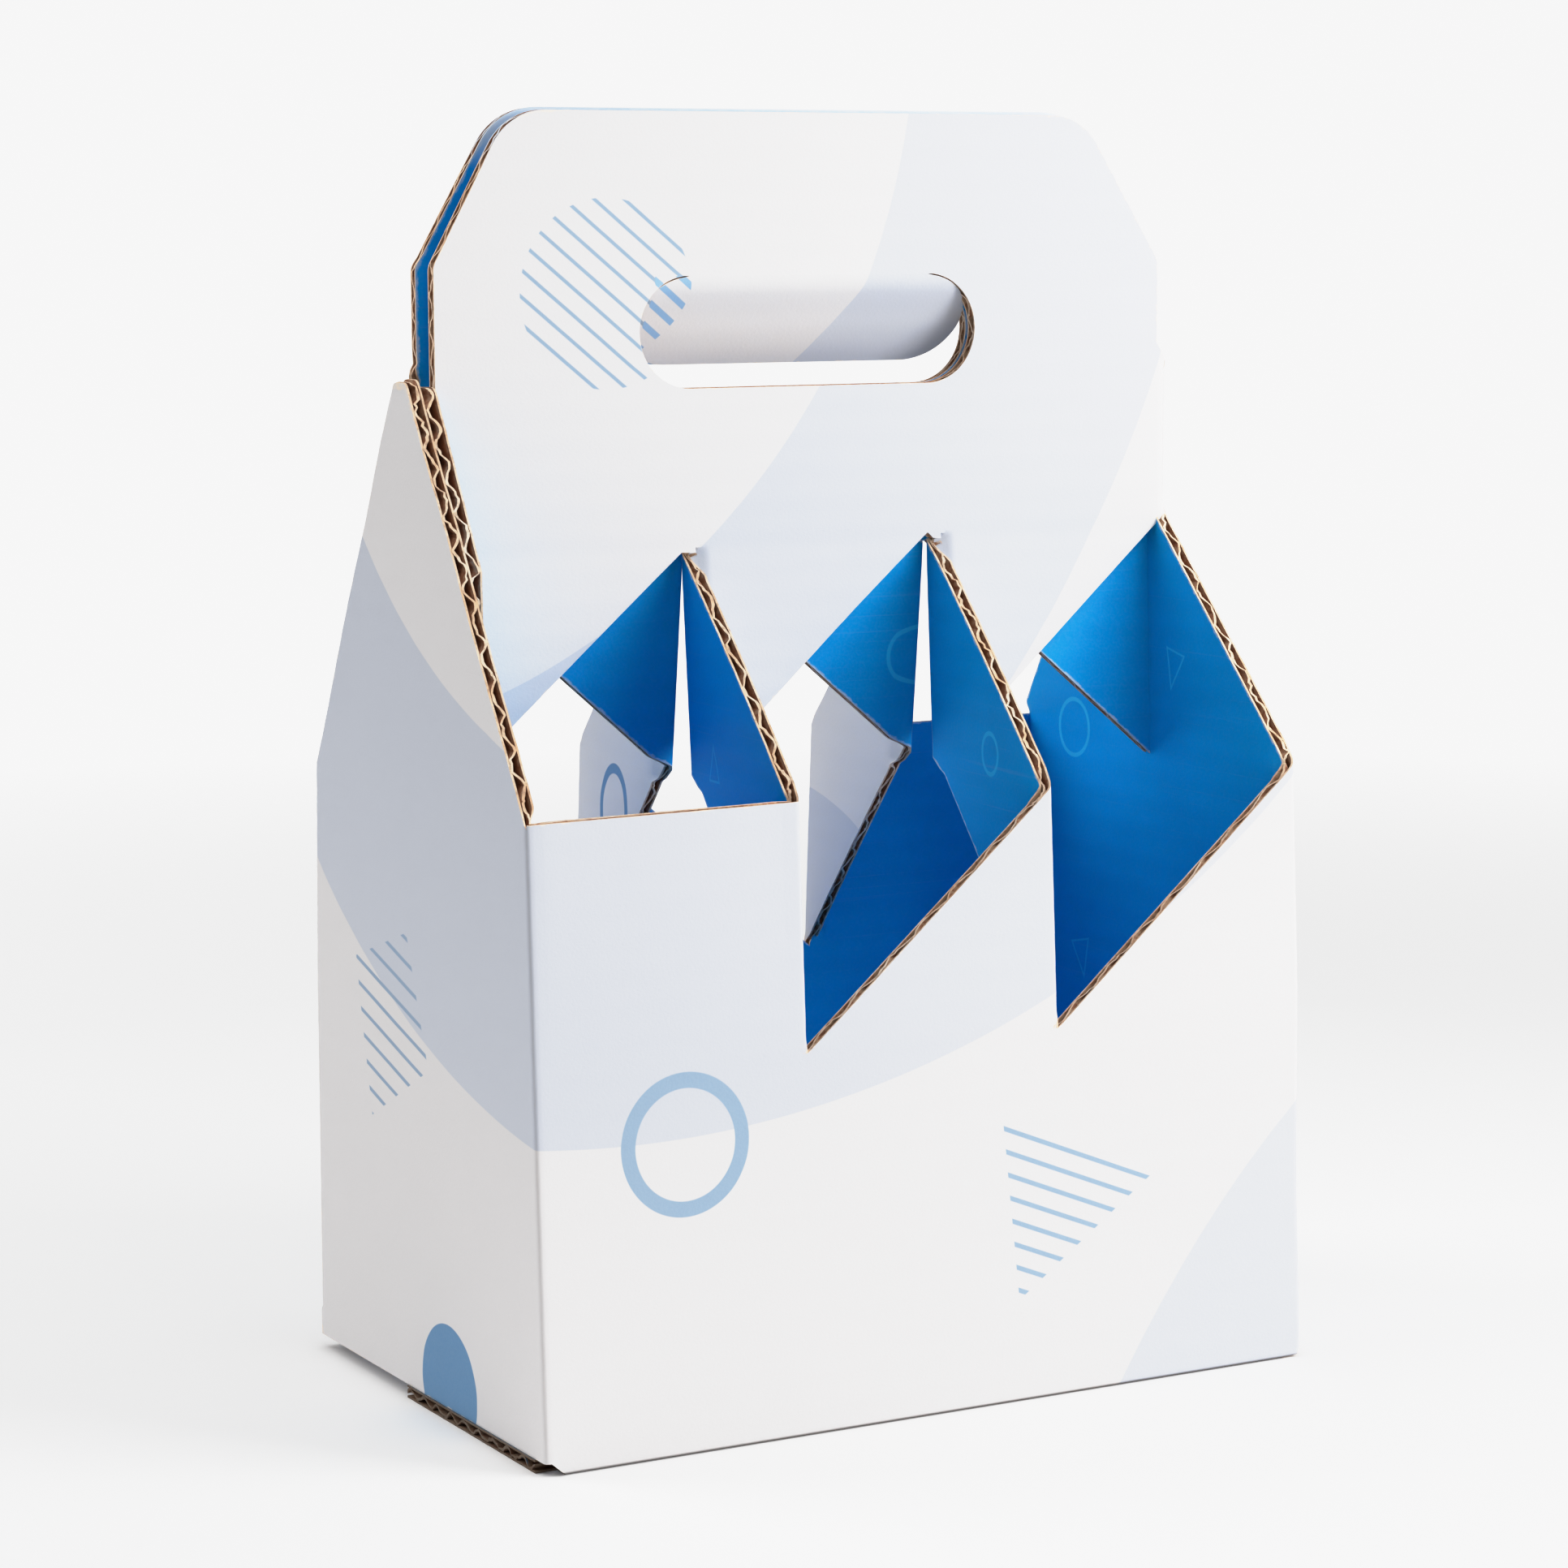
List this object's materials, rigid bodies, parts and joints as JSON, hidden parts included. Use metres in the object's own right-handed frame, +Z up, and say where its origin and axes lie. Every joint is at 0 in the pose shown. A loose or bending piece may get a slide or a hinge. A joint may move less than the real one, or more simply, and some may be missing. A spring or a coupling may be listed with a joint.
{
  "type": "six-pack bottle carrier",
  "caption": "Empty open-topped carrier of folded corrugated board with bottle cells, sloped end panels and a tall double handle with a hand slot.",
  "frame": {"origin": "centre of the base, on the surface it stands on", "axes": "+X along the length, +Y from the front long wall to the back one, +Z up"},
  "size_m": [0.2012, 0.1232, 0.297],
  "materials": {
    "printed_board": "matt corrugated board, printed white and pale blue outside and strong blue inside"
  },
  "bodies": {
    "root": {"carton": "printed_board"}
  },
  "joints": []
}
